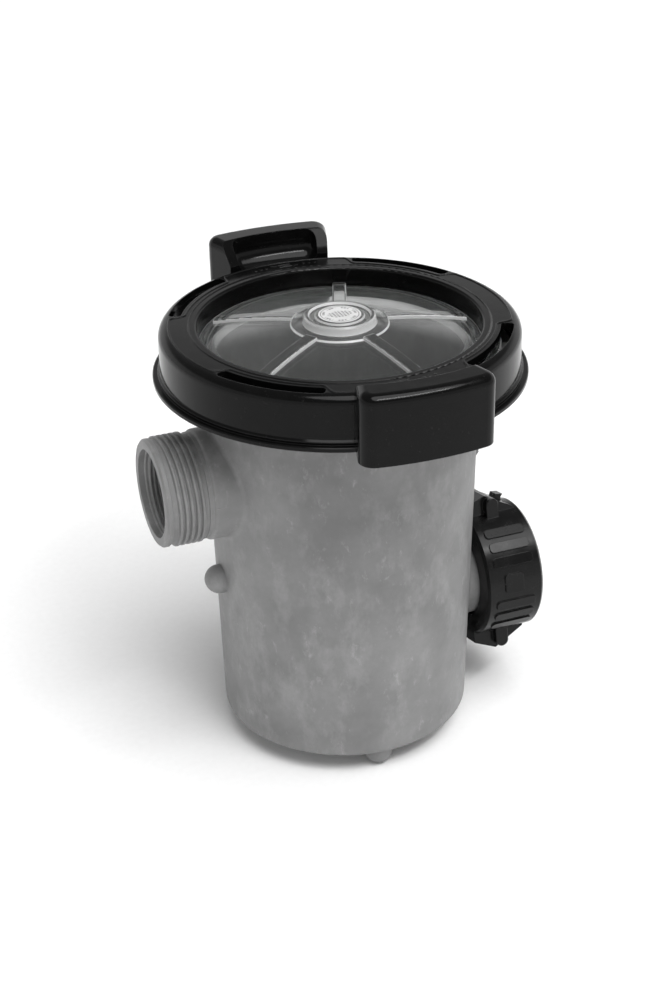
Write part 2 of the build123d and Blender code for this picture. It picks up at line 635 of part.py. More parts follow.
def basket_floor_holes():
    """Round holes on rings in the basket's floor."""
    holes = []
    for ring in range(1, FLOOR_HOLE_RINGS + 1):
        for n in range(6 * ring):
            x, y = polar(FLOOR_HOLE_STEP * ring, 360 / (6 * ring) * n)
            holes.append(Pos(x, y, BASKET_FOOT_Z) * Cylinder(FLOOR_HOLE_R, 12))
    return holes


def bail_ears():
    """Two upright ears on the basket's rim with pivot holes along X."""
    rim_top = BASKET_RIM_BOTTOM_Z + BASKET_RIM_THICK
    centre = EAR_OUTER_R - EAR_THICK / 2
    radius = EAR_WIDTH / 2
    ears = []
    for side in (-1, 1):
        across = Plane(origin=(side * centre, 0, BAIL_Z), x_dir=(0, 1, 0), z_dir=(1, 0, 0))
        plate = across * Circle(radius)
        foot = BAIL_Z - rim_top + 2
        plate = plate + across * Pos(0, -foot / 2) * Rectangle(EAR_WIDTH, foot)
        plate = plate - across * Circle(EAR_HOLE_R)
        ears.append(extrude(plate, EAR_THICK / 2, both=True))
    return ears


def basket():
    """Perforated basket with a seating rim, slots, floor holes and bail ears."""
    rim_top = BASKET_RIM_BOTTOM_Z + BASKET_RIM_THICK
    cup = turned(
        (0, BASKET_FOOT_Z), (BASKET_FOOT_R, BASKET_FOOT_Z), (BASKET_TOP_R, BASKET_RIM_BOTTOM_Z),
        (BASKET_RIM_R, BASKET_RIM_BOTTOM_Z), (BASKET_RIM_R, rim_top),
        (BASKET_TOP_R - BASKET_WALL, rim_top),
        (BASKET_FOOT_R - BASKET_WALL, BASKET_FOOT_Z + BASKET_WALL), (0, BASKET_FOOT_Z + BASKET_WALL))
    return cup + bail_ears() - (basket_slots() + basket_floor_holes())


def basket_bail():
    """Round-wire bail, folded flat along the front half of the rim, with inward pins."""
    arc = ThreePointArc((-BAIL_R, 0), (0, -BAIL_R), (BAIL_R, 0))
    start = Plane(origin=(-BAIL_R, 0, 0), z_dir=(0, -1, 0))
    hoop = Pos(0, 0, BAIL_Z) * sweep(start * Circle(BAIL_ROD_R), path=arc)
    pieces = [hoop]
    for side in (-1, 1):
        pieces.append(Pos(side * BAIL_R, 0, BAIL_Z) * Sphere(BAIL_ROD_R))
        length = BAIL_R - BAIL_PIN_INNER
        middle = (BAIL_R + BAIL_PIN_INNER) / 2
        pin = Plane(origin=(side * middle, 0, BAIL_Z), z_dir=(1, 0, 0)) * Cylinder(BAIL_PIN_R, length)
        pieces.append(pin)
    return pieces[0] + pieces[1:]


def nut_shell():
    """Whole union nut before it is split, along +X from the origin of the outlet's axis."""
    cavity_from = NUT_BACK_X + NUT_BACK_WALL
    round_off = 1.6
    shell = turned(
        (NUT_HOLE_R, NUT_BACK_X), (NUT_R - round_off, NUT_BACK_X), (NUT_R, NUT_BACK_X + round_off),
        (NUT_R, NUT_FRONT_X - round_off), (NUT_R - round_off, NUT_FRONT_X),
        (NUT_MAJOR_R + 0.8, NUT_FRONT_X), (NUT_MAJOR_R, NUT_FRONT_X - 0.8),
        (NUT_MAJOR_R, TAIL_FACE_X + 0.6), (NUT_MINOR_R, TAIL_FACE_X),
        (NUT_MINOR_R, cavity_from), (NUT_HOLE_R, cavity_from))
    ridge = thread(NUT_MAJOR_R, NUT_MINOR_R, UNION_PITCH, TAIL_FACE_X + 0.8,
                   NUT_FRONT_X - TAIL_FACE_X - 1.6)
    raised = []
    for side in (-1, 1):
        for n in GRIP_BAR_SLOTS:
            turn = 90 + side * (GRIP_BAR_FIRST + GRIP_BAR_STEP * n)
            raised.append(Rot(0, 0, turn) * grip_bar(GRIP_BAR_LENGTH, GRIP_BAR_WIDTH, GRIP_BAR_MIDDLE_X))
        turn = 90 + side * (GRIP_BAR_FIRST + GRIP_BAR_STEP * NUT_PAD_SLOT)
        raised.append(Rot(0, 0, turn) * grip_bar(NUT_PAD_SIZE, NUT_PAD_SIZE, NUT_PAD_X))
    return shell + ridge + raised


def grip_bar(length, width, middle):
    """Raised bar or pad with rounded corners on the nut's outside, radially along local +X."""
    foot = NUT_R - GRIP_BAR_SINK
    plan = Plane(origin=(foot, 0, middle), x_dir=(0, 0, 1), z_dir=(1, 0, 0))
    return extrude(plan * RectangleRounded(length, width, 2), GRIP_BAR_SINK + GRIP_BAR_RISE)


def joint_lug(up, front):
    """Sloping lug at the parting line of one half; up and front are 1 or -1."""
    outline = Polyline(
        (NUT_BACK_X, NUT_LUG_FOOT), (NUT_BACK_X, NUT_LUG_TOP - 5.5), (NUT_LUG_PEAK_X, NUT_LUG_TOP),
        (NUT_LUG_END_X, NUT_R - 1), (NUT_LUG_END_X, NUT_LUG_FOOT), close=True)
    plate = extrude(Plane.XZ * make_face(outline), front * NUT_LUG_THICK)
    return plate if up > 0 else mirror(plate, Plane.XY)


def latch_tab(up, front):
    """Round-headed catch that stands in front of the lug."""
    middle = CATCH_HEAD - CATCH_WIDTH / 2
    reach = middle - NUT_LUG_FOOT
    outline = (Pos(CATCH_X, middle) * Circle(CATCH_WIDTH / 2)
               + Pos(CATCH_X, middle - reach / 2) * Rectangle(CATCH_WIDTH, reach))
    plate = extrude(Plane.XZ * outline, front * (NUT_LUG_THICK + CATCH_DEPTH))
    plate = fillet(plate.faces().sort_by(Axis.Y)[0 if front > 0 else -1].edges(), 0.8)
    return plate if up > 0 else mirror(plate, Plane.XY)


def lug_hook(up, front):
    """Small upright hook on the lug, leaning forward at its tip."""
    outline = Polyline(
        (HOOK_X - 2.2, NUT_LUG_FOOT), (HOOK_X - 2.2, HOOK_TOP - 2.4), (HOOK_X - 1.2, HOOK_TOP),
        (HOOK_X + 3.0, HOOK_TOP - 0.6), (HOOK_X + 1.6, HOOK_TOP - 2.2),
        (HOOK_X + 1.6, NUT_LUG_FOOT), close=True)
    plate = extrude(Plane.XZ * make_face(outline), front * HOOK_THICK)
    return plate if up > 0 else mirror(plate, Plane.XY)


def union_nut_half(front):
    """One half of the split nut; front is 1 for the -Y half and -1 for the +Y half."""
    whole = Plane(origin=(0, 0, 0), x_dir=(0, 1, 0), z_dir=(1, 0, 0)) * nut_shell()
    keep = Pos((NUT_BACK_X + NUT_FRONT_X) / 2, -front * NUT_R, 0) * Box(2 * NUT_R, 2 * NUT_R, 4 * NUT_R)
    half = whole & keep
    for up in (-1, 1):
        half = half + joint_lug(up, front) + latch_tab(up, front) + lug_hook(up, front)
    return Pos(0, 0, OUTLET_Z) * Rot(NUT_TURN_AT_REST, 0, 0) * half


def union_seal():
    """Sealing ring in the tail flange's groove."""
    depth = 2 * TAIL_RING_R - 0.8
    floor = TAIL_FACE_X - depth
    hoop = Pos(0, 0, floor + TAIL_RING_R - 0.1) * Torus(TAIL_GROOVE_R, TAIL_RING_R)
    hoop = hoop & Pos(0, 0, floor + 10) * Cylinder(TAIL_R, 20)
    return along(1, OUTLET_Z) * hoop


NODES = {
    "strainer_body": strainer_body,
    "lid": lid,
    "lid_seal": lid_seal,
    "lid_label": lid_label,
    "lock_ring": lock_ring,
    "basket": basket,
    "basket_bail": basket_bail,
    "union_nut_front_half": lambda: union_nut_half(1),
    "union_nut_rear_half": lambda: union_nut_half(-1),
    "union_seal": union_seal,
}

os.makedirs("parts", exist_ok=True)
for name, make in NODES.items():
    export_step(make(), "parts/" + name + ".step")
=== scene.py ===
import json
import math

import bmesh
import bpy
from bpy.props import FloatProperty, FloatVectorProperty, PointerProperty
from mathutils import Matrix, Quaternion, Vector


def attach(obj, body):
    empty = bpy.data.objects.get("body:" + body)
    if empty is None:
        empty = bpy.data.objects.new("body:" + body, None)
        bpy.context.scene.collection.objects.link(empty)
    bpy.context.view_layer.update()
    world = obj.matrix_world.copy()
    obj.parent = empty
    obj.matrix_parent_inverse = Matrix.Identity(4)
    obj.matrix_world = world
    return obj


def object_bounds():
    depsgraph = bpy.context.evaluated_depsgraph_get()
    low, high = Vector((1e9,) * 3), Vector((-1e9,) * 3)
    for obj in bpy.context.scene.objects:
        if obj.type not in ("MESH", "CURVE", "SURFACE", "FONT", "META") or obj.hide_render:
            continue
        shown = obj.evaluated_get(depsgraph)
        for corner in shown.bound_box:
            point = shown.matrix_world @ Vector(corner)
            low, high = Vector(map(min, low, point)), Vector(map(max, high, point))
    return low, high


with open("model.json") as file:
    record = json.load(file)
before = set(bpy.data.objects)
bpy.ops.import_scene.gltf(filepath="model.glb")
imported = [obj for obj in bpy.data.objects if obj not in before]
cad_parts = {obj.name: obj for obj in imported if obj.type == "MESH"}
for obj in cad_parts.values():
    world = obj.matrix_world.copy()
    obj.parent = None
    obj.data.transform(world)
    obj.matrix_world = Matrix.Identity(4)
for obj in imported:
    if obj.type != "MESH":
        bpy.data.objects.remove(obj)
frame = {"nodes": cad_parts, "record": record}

bl_info = {
    "name": "Basket Strainer",
    "version": (1, 0, 0),
    "blender": (4, 5, 0),
    "location": "3D View > Sidebar > Strainer",
    "description": "Finishes for a basket strainer: pot, clear lid, lock ring, basket and union nut",
    "category": "Object",
}

NODES = frame["nodes"]
MOUNTS = {mount["name"]: mount for mount in frame["record"]["mounts"]}
CAD_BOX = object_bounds()

# Parting ridges on the inlet neck, in millimetres: their ends along X, where the neck stops being
# round, a radius that only the neck lies inside, and how deep a ridge is sunk into it.
RIDGE_START_X = -82.4
RIDGE_STOP_X = -76.0
NECK_ROUND_TO_X = -80.0
NECK_LIMIT_R = 33.0
RIDGE_SINK = 0.1

# Points of a ridge's mesh, along it and across it.
RIDGE_ROWS = 9
RIDGE_POINTS = 5

# Label print, in millimetres: the middle radius and half width of its rim line and its dashes.
LABEL_RIM = (10.2, 0.18)
LABEL_DASHES = (8.6, 0.62)
LABEL_DOT_PITCH = 1.8
LABEL_FIELD_R = 5.0

# Sines of the heights between which the studio's white walls give way to its dim ceiling.
WALL_TOP = 0.30
CEILING_EDGE = 0.46

# Lights, camera and floor values with no setting in the panel: metres and watts, but millimetres for
# the camera's sensor and for the gap that keeps the base clear of the floor.
SUN_HEADING = (-0.10, 0.36, -1.0)
STRIP_PLACE = (0.42, -1.07, 1.72)
STRIP_SIZE = (0.9, 0.08)
STRIP_POWER = 9
SENSOR_WIDTH = 36.0
LIGHTS_AIM = (0, 0, 0.15)
FLOOR_GAP = 0.2


def linear(code):
    """Linear RGBA of an sRGB hex colour such as '6e6e6e'."""
    def channel(part):
        value = int(part, 16) / 255
        return value / 12.92 if value <= 0.04045 else ((value + 0.055) / 1.055) ** 2.4
    return (*(channel(code[at:at + 2]) for at in (0, 2, 4)), 1.0)


def per_mm(size):
    """Texture scale that gives features of about this size in millimetres."""
    return 1000.0 / size


def mm(size):
    """Metres from millimetres."""
    return size / 1000.0


def add(tree, kind, inputs=None, **settings):
    """Add one shader node with its settings, and set or link its inputs."""
    made = tree.nodes.new(kind)
    for key, value in settings.items():
        setattr(made, key, value)
    for key, value in (inputs or {}).items():
        if isinstance(value, bpy.types.NodeSocket):
            tree.links.new(value, made.inputs[key])
        else:
            made.inputs[key].default_value = value
    return made


def new_material(name):
    """Empty node material: its tree, its shader and the object's coordinates in metres."""
    made = bpy.data.materials.new(name)
    made.use_nodes = True
    tree = made.node_tree
    tree.nodes.clear()
    shader = add(tree, "ShaderNodeBsdfPrincipled")
    add(tree, "ShaderNodeOutputMaterial", {"Surface": shader.outputs["BSDF"]})
    place = add(tree, "ShaderNodeTexCoord").outputs["Object"]
    return made, tree, shader, place


def rounded_edges(tree, radius):
    """Normal rounded over edges by a radius in millimetres, and a mask that is 1 on the edges."""
    bevel = add(tree, "ShaderNodeBevel", {"Radius": mm(radius)}, samples=4)
    flat = add(tree, "ShaderNodeNewGeometry")
    match = add(tree, "ShaderNodeVectorMath", {
        0: bevel.outputs["Normal"], 1: flat.outputs["Normal"]}, operation="DOT_PRODUCT")
    edge = add(tree, "ShaderNodeMapRange", {
        "Value": match.outputs["Value"], "From Min": 0.80, "From Max": 0.99, "To Min": 1.0, "To Max": 0.0})
    return bevel.outputs["Normal"], edge.outputs["Result"]


def moulded_polypropylene(look):
    """Grey moulded polypropylene: chalky and blotched, with soft flow streaks and pale scuffs."""
    made, tree, shader, place = new_material("polypropylene_moulded_grey")
    normal, edge = rounded_edges(tree, look.edge_round)
    tall = add(tree, "ShaderNodeMapping", {"Vector": place, "Scale": (1.0, 1.0, 0.55)})
    cloud = add(tree, "ShaderNodeTexNoise", {
        "Vector": place, "Scale": per_mm(42), "Detail": 4.0, "Roughness": 0.6})
    streak = add(tree, "ShaderNodeTexNoise", {
        "Vector": tall.outputs["Vector"], "Scale": per_mm(15), "Detail": 7.0, "Roughness": 0.66})
    chalk = add(tree, "ShaderNodeTexNoise", {
        "Vector": tall.outputs["Vector"], "Scale": per_mm(6), "Detail": 10.0, "Roughness": 0.78,
        "Distortion": 0.3})
    speck = add(tree, "ShaderNodeTexNoise", {"Vector": place, "Scale": per_mm(1.6), "Detail": 3.0})
    # Broad blotches where the melt cooled at different speeds.
    blotch = add(tree, "ShaderNodeMapRange", {
        "Value": cloud.outputs["Fac"], "From Min": 0.34, "From Max": 0.68})
    base = add(tree, "ShaderNodeMix", {
        "Factor": blotch.outputs["Result"], "A": (*look.pot_dark, 1), "B": (*look.pot_light, 1)},
        data_type="RGBA")
    # Flow streaks, long in the direction the mould filled.
    flow = add(tree, "ShaderNodeMapRange", {
        "Value": streak.outputs["Fac"], "From Min": 0.50, "From Max": 0.74, "To Max": 0.30})
    flowed = add(tree, "ShaderNodeMix", {
        "Factor": flow.outputs["Result"], "A": base.outputs[2], "B": (*look.pot_chalk, 1)},
        data_type="RGBA")
    # Chalky scuffs, small and broken.
    mark = add(tree, "ShaderNodeMapRange", {
        "Value": chalk.outputs["Fac"], "From Min": 0.57, "From Max": 0.70, "To Max": 0.45})
    scuffed = add(tree, "ShaderNodeMix", {
        "Factor": mark.outputs["Result"], "A": flowed.outputs[2], "B": (*look.pot_chalk, 1)},
        data_type="RGBA")
    grit = add(tree, "ShaderNodeMapRange", {
        "Value": speck.outputs["Fac"], "From Min": 0.3, "From Max": 0.7, "To Max": 0.16})
    gritty = add(tree, "ShaderNodeMix", {
        "Factor": grit.outputs["Result"], "A": scuffed.outputs[2], "B": (*look.pot_dark, 1)},
        data_type="RGBA")
    rubbed = add(tree, "ShaderNodeMath", {0: edge, 1: 0.5}, operation="MULTIPLY")
    worn = add(tree, "ShaderNodeMix", {
        "Factor": rubbed.outputs["Value"], "A": gritty.outputs[2], "B": (*look.pot_chalk, 1)},
        data_type="RGBA")
    dull = add(tree, "ShaderNodeMapRange", {"Value": chalk.outputs["Fac"], "To Min": 0.38, "To Max": 0.66})
    # The mould's spark-eroded grain is near 0.2 mm; it is drawn at 0.6 mm so that it shows.
    grain = add(tree, "ShaderNodeTexNoise", {"Vector": place, "Scale": per_mm(0.6), "Detail": 2.0})
    skin = add(tree, "ShaderNodeBump", {
        "Strength": 0.22, "Distance": mm(0.05), "Height": grain.outputs["Fac"], "Normal": normal})
    sink = add(tree, "ShaderNodeBump", {
        "Strength": 0.35, "Distance": mm(0.5), "Height": cloud.outputs["Fac"],
        "Normal": skin.outputs["Normal"]})
    tree.links.new(worn.outputs[2], shader.inputs["Base Color"])
    tree.links.new(dull.outputs["Result"], shader.inputs["Roughness"])
    tree.links.new(sink.outputs["Normal"], shader.inputs["Normal"])
    shader.inputs["IOR"].default_value = 1.49
    return made


def glossy_abs(look):
    """Black ABS from a polished mould: deep gloss, faint ripple, finger smears and paler rubbed edges."""
    made, tree, shader, place = new_material("abs_polished_mould_black")
    normal, edge = rounded_edges(tree, look.edge_round * 1.2)
    smear = add(tree, "ShaderNodeTexNoise", {
        "Vector": place, "Scale": per_mm(16), "Detail": 5.0, "Roughness": 0.65, "Distortion": 0.8})
    dust = add(tree, "ShaderNodeTexNoise", {"Vector": place, "Scale": per_mm(1.8), "Detail": 5.0})
    film = add(tree, "ShaderNodeMapRange", {
        "Value": smear.outputs["Fac"], "From Min": 0.45, "From Max": 0.75, "To Max": 0.5})
    base = add(tree, "ShaderNodeMix", {
        "Factor": film.outputs["Result"], "A": (*look.ring_black, 1), "B": (*look.ring_film, 1)},
        data_type="RGBA")
    fleck = add(tree, "ShaderNodeMapRange", {
        "Value": dust.outputs["Fac"], "From Min": 0.66, "From Max": 0.76, "To Max": 0.35})
    dusty = add(tree, "ShaderNodeMix", {
        "Factor": fleck.outputs["Result"], "A": base.outputs[2], "B": (*look.edge_wear, 1)},
        data_type="RGBA")
    rubbed = add(tree, "ShaderNodeMath", {0: edge, 1: 0.45}, operation="MULTIPLY")
    worn = add(tree, "ShaderNodeMix", {
        "Factor": rubbed.outputs["Value"], "A": dusty.outputs[2], "B": (*look.edge_wear, 1)},
        data_type="RGBA")
    gloss = add(tree, "ShaderNodeMapRange", {
        "Value": smear.outputs["Fac"], "From Min": 0.3, "From Max": 0.75, "To Min": 0.07, "To Max": 0.20})
    ripple = add(tree, "ShaderNodeTexNoise", {"Vector": place, "Scale": per_mm(7), "Detail": 1.0})
    wave = add(tree, "ShaderNodeBump", {
        "Strength": 0.25, "Distance": mm(0.06), "Height": ripple.outputs["Fac"], "Normal": normal})
    tree.links.new(worn.outputs[2], shader.inputs["Base Color"])
    tree.links.new(gloss.outputs["Result"], shader.inputs["Roughness"])
    tree.links.new(wave.outputs["Normal"], shader.inputs["Normal"])
    shader.inputs["IOR"].default_value = 1.52
    shader.inputs["Specular IOR Level"].default_value = 0.14
    return made


def satin_nylon(look):
    """Black glass-filled nylon: satin, with a fine moulded grain and faint grey rub marks."""
    made, tree, shader, place = new_material("nylon_moulded_satin_black")
    normal, edge = rounded_edges(tree, look.edge_round)
    rub = add(tree, "ShaderNodeTexNoise", {
        "Vector": place, "Scale": per_mm(9), "Detail": 7.0, "Roughness": 0.7, "Distortion": 0.4})
    mark = add(tree, "ShaderNodeMapRange", {
        "Value": rub.outputs["Fac"], "From Min": 0.5, "From Max": 0.78, "To Max": 0.55})
    base = add(tree, "ShaderNodeMix", {
        "Factor": mark.outputs["Result"], "A": (*look.nut_black, 1), "B": (*look.nut_rub, 1)},
        data_type="RGBA")
    rubbed = add(tree, "ShaderNodeMath", {0: edge, 1: 0.7}, operation="MULTIPLY")
    worn = add(tree, "ShaderNodeMix", {
        "Factor": rubbed.outputs["Value"], "A": base.outputs[2], "B": (*look.edge_wear, 1)},
        data_type="RGBA")
    satin = add(tree, "ShaderNodeMapRange", {
        "Value": rub.outputs["Fac"], "From Min": 0.3, "From Max": 0.75, "To Min": 0.17, "To Max": 0.32})
    # Glass fibre at the skin, about 0.1 mm across; drawn at 0.7 mm so that it shows.
    grain = add(tree, "ShaderNodeTexNoise", {"Vector": place, "Scale": per_mm(0.7), "Detail": 2.0})
    skin = add(tree, "ShaderNodeBump", {
        "Strength": 0.25, "Distance": mm(0.05), "Height": grain.outputs["Fac"], "Normal": normal})
    tree.links.new(worn.outputs[2], shader.inputs["Base Color"])
    tree.links.new(satin.outputs["Result"], shader.inputs["Roughness"])
    tree.links.new(skin.outputs["Normal"], shader.inputs["Normal"])
    shader.inputs["IOR"].default_value = 1.53
    shader.inputs["Specular IOR Level"].default_value = 0.22
    return made


def clear_polycarbonate(look):
    """Clear polycarbonate from a polished mould: slight haze and wipe marks, with frosted upright walls and
    edges that also carry a painted highlight.
    """
    made, tree, shader, place = new_material("polycarbonate_polished_clear")
    normal, edge = rounded_edges(tree, look.edge_round)
    swirl = add(tree, "ShaderNodeTexNoise", {
        "Vector": place, "Scale": per_mm(24), "Detail": 6.0, "Roughness": 0.6, "Distortion": 1.2})
    haze = add(tree, "ShaderNodeMapRange", {
        "Value": swirl.outputs["Fac"], "From Min": 0.4, "From Max": 0.8, "To Min": 0.015, "To Max": 0.11})
    # Upright walls of the ribs and the hub, and the edges, are slightly frosted (rougher); they are also
    # painted pale and made less clear, a painted highlight.
    facing = add(tree, "ShaderNodeSeparateXYZ", {
        "Vector": add(tree, "ShaderNodeTexCoord").outputs["Normal"]})
    upright = add(tree, "ShaderNodeMath", {0: facing.outputs["Z"]}, operation="ABSOLUTE")
    wall = add(tree, "ShaderNodeMapRange", {
        "Value": upright.outputs["Value"], "From Min": 0.5, "From Max": 0.85, "To Min": 0.8, "To Max": 0.0})
    pale = add(tree, "ShaderNodeMath", {0: edge, 1: wall.outputs["Result"]}, operation="MAXIMUM")
    frost = add(tree, "ShaderNodeMath", {0: pale.outputs["Value"], 1: 0.45}, operation="MULTIPLY")
    rough = add(tree, "ShaderNodeMath", {
        0: haze.outputs["Result"], 1: frost.outputs["Value"]}, operation="MAXIMUM")
    # Painted highlight: the tint goes towards near white on upright walls and edges.
    tone = add(tree, "ShaderNodeMix", {
        "Factor": pale.outputs["Value"], "A": (*look.lid_tint, 1), "B": linear("fafafa")}, data_type="RGBA")
    ripple = add(tree, "ShaderNodeTexNoise", {"Vector": place, "Scale": per_mm(13), "Detail": 1.0})
    wave = add(tree, "ShaderNodeBump", {
        "Strength": 0.25, "Distance": mm(0.12), "Height": ripple.outputs["Fac"], "Normal": normal})
    tree.links.new(tone.outputs[2], shader.inputs["Base Color"])
    tree.links.new(rough.outputs["Value"], shader.inputs["Roughness"])
    # Painted highlight: transmission drops on upright walls and edges so that they show pale.
    clear = add(tree, "ShaderNodeMapRange", {
        "Value": pale.outputs["Value"], "To Min": 1.0, "To Max": 0.3})
    tree.links.new(clear.outputs["Result"], shader.inputs["Transmission Weight"])
    tree.links.new(wave.outputs["Normal"], shader.inputs["Normal"])
    shader.inputs["IOR"].default_value = 1.585
    return made


def pale_polypropylene(look):
    """Pale natural polypropylene: waxy and slightly see-through, stained a little where water stands."""
    made, tree, shader, place = new_material("polypropylene_moulded_pale")
    normal = rounded_edges(tree, look.edge_round)[0]
    stain = add(tree, "ShaderNodeTexNoise", {
        "Vector": place, "Scale": per_mm(22), "Detail": 6.0, "Roughness": 0.66})
    mark = add(tree, "ShaderNodeMapRange", {
        "Value": stain.outputs["Fac"], "From Min": 0.42, "From Max": 0.75, "To Max": 0.6})
    base = add(tree, "ShaderNodeMix", {
        "Factor": mark.outputs["Result"], "A": (*look.basket_pale, 1), "B": (*look.basket_stain, 1)},
        data_type="RGBA")
    # The moulding's grain is near 0.2 mm; it is drawn at 0.8 mm so that it shows.
    grain = add(tree, "ShaderNodeTexNoise", {"Vector": place, "Scale": per_mm(0.8), "Detail": 2.0})
    skin = add(tree, "ShaderNodeBump", {
        "Strength": 0.2, "Distance": mm(0.05), "Height": grain.outputs["Fac"], "Normal": normal})
    wax = add(tree, "ShaderNodeMapRange", {"Value": stain.outputs["Fac"], "To Min": 0.3, "To Max": 0.55})
    tree.links.new(base.outputs[2], shader.inputs["Base Color"])
    tree.links.new(wax.outputs["Result"], shader.inputs["Roughness"])
    tree.links.new(skin.outputs["Normal"], shader.inputs["Normal"])
    shader.inputs["IOR"].default_value = 1.49
    shader.inputs["Subsurface Weight"].default_value = 0.15
    shader.inputs["Subsurface Radius"].default_value = (mm(1.2), mm(1.2), mm(1.2))
    return made


def moulded_nitrile():
    """Black moulded nitrile rubber: soft sheen with a dusty bloom."""
    made, tree, shader, place = new_material("nitrile_rubber_moulded")
    bloom = add(tree, "ShaderNodeTexNoise", {"Vector": place, "Scale": per_mm(5), "Detail": 6.0})
    dust = add(tree, "ShaderNodeMapRange", {
        "Value": bloom.outputs["Fac"], "From Min": 0.45, "From Max": 0.75, "To Max": 0.6})
    base = add(tree, "ShaderNodeMix", {
        "Factor": dust.outputs["Result"], "A": linear("161616"), "B": linear("303030")}, data_type="RGBA")
    skin = add(tree, "ShaderNodeBump", {
        "Strength": 0.2, "Distance": mm(0.05), "Height": bloom.outputs["Fac"]})
    tree.links.new(base.outputs[2], shader.inputs["Base Color"])
    tree.links.new(skin.outputs["Normal"], shader.inputs["Normal"])
    shader.inputs["Roughness"].default_value = 0.55
    shader.inputs["IOR"].default_value = 1.52
    return made


def printed_vinyl(look):
    """White vinyl label, printed in dark grey: a rim line, a ring of plain dashes and a dotted field."""
    made, tree, shader, place = new_material("vinyl_printed_white")
    across = add(tree, "ShaderNodeVectorMath", {0: place, 1: (1000.0, 1000.0, 0.0)}, operation="MULTIPLY")
    split = add(tree, "ShaderNodeSeparateXYZ", {"Vector": across.outputs["Vector"]})
    x, y = split.outputs["X"], split.outputs["Y"]
    radius = add(tree, "ShaderNodeVectorMath", {0: across.outputs["Vector"]}, operation="LENGTH")
    radius = radius.outputs["Value"]
    angle = add(tree, "ShaderNodeMath", {0: y, 1: x}, operation="ARCTAN2").outputs["Value"]
    # Thin line near the rim.
    rim = add(tree, "ShaderNodeMath", {
        0: radius, 1: LABEL_RIM[0], 2: LABEL_RIM[1]}, operation="COMPARE")
    # Ring of uneven dashes: a fast beat round the label, thinned by a slow one.
    band = add(tree, "ShaderNodeMath", {
        0: radius, 1: LABEL_DASHES[0], 2: LABEL_DASHES[1]}, operation="COMPARE")
    beat = add(tree, "ShaderNodeMath", {0: angle, 1: 31.0}, operation="MULTIPLY")
    beat = add(tree, "ShaderNodeMath", {0: beat.outputs["Value"]}, operation="SINE")
    slow = add(tree, "ShaderNodeMath", {0: angle, 1: 7.0}, operation="MULTIPLY")
    slow = add(tree, "ShaderNodeMath", {0: slow.outputs["Value"]}, operation="COSINE")
    both = add(tree, "ShaderNodeMath", {
        0: beat.outputs["Value"], 1: slow.outputs["Value"]}, operation="ADD")
    dash = add(tree, "ShaderNodeMath", {0: both.outputs["Value"], 1: 0.35}, operation="GREATER_THAN")
    dashes = add(tree, "ShaderNodeMath", {
        0: band.outputs["Value"], 1: dash.outputs["Value"]}, operation="MULTIPLY")
    # Field of dots inside an oval.
    dots = []
    for line in (x, y):
        turn = add(tree, "ShaderNodeMath", {0: line, 1: math.tau / LABEL_DOT_PITCH}, operation="MULTIPLY")
        wave = add(tree, "ShaderNodeMath", {0: turn.outputs["Value"]}, operation="SINE")
        dots.append(add(tree, "ShaderNodeMath", {0: wave.outputs["Value"], 1: -0.25},
                        operation="GREATER_THAN").outputs["Value"])
    grid = add(tree, "ShaderNodeMath", {0: dots[0], 1: dots[1]}, operation="MULTIPLY")
    stretch = add(tree, "ShaderNodeVectorMath", {
        0: across.outputs["Vector"], 1: (0.75, 1.25, 0.0)}, operation="MULTIPLY")
    oval = add(tree, "ShaderNodeVectorMath", {0: stretch.outputs["Vector"]}, operation="LENGTH")
    field = add(tree, "ShaderNodeMath", {0: oval.outputs["Value"], 1: LABEL_FIELD_R},
                operation="LESS_THAN")
    dotted = add(tree, "ShaderNodeMath", {
        0: grid.outputs["Value"], 1: field.outputs["Value"]}, operation="MULTIPLY")
    ink = add(tree, "ShaderNodeMath", {0: rim.outputs["Value"], 1: dashes.outputs["Value"]},
              operation="MAXIMUM")
    ink = add(tree, "ShaderNodeMath", {0: ink.outputs["Value"], 1: dotted.outputs["Value"]},
              operation="MAXIMUM")
    strength = add(tree, "ShaderNodeMath", {0: ink.outputs["Value"], 1: 0.92}, operation="MULTIPLY")
    soil = add(tree, "ShaderNodeTexNoise", {"Vector": place, "Scale": per_mm(6), "Detail": 5.0})
    paper = add(tree, "ShaderNodeMix", {
        "Factor": soil.outputs["Fac"], "A": (*look.label_white, 1), "B": linear("bcbcbc")},
        data_type="RGBA")
    printed = add(tree, "ShaderNodeMix", {
        "Factor": strength.outputs["Value"], "A": paper.outputs[2], "B": linear("2a2a2a")},
        data_type="RGBA")
    tree.links.new(printed.outputs[2], shader.inputs["Base Color"])
    shader.inputs["Roughness"].default_value = 0.32
    shader.inputs["IOR"].default_value = 1.5
    return made


def paper_backdrop(look):
    """Matt white backdrop paper."""
    made, tree, shader, place = new_material("paper_backdrop_matt")
    fibre = add(tree, "ShaderNodeTexNoise", {"Vector": place, "Scale": per_mm(4), "Detail": 4.0})
    tone = add(tree, "ShaderNodeMix", {
        "Factor": fibre.outputs["Fac"], "A": (*look.paper, 1), "B": linear("fbfbfb")}, data_type="RGBA")
    tree.links.new(tone.outputs[2], shader.inputs["Base Color"])
    shader.inputs["Roughness"].default_value = 0.95
    shader.inputs["Specular IOR Level"].default_value = 0.1
    return made


def tint(name, description, code):
    """Colour property whose default is an sRGB hex colour."""
    return FloatVectorProperty(name=name, description=description, subtype="COLOR", size=3,
                               min=0.0, max=1.0, default=linear(code)[:3])


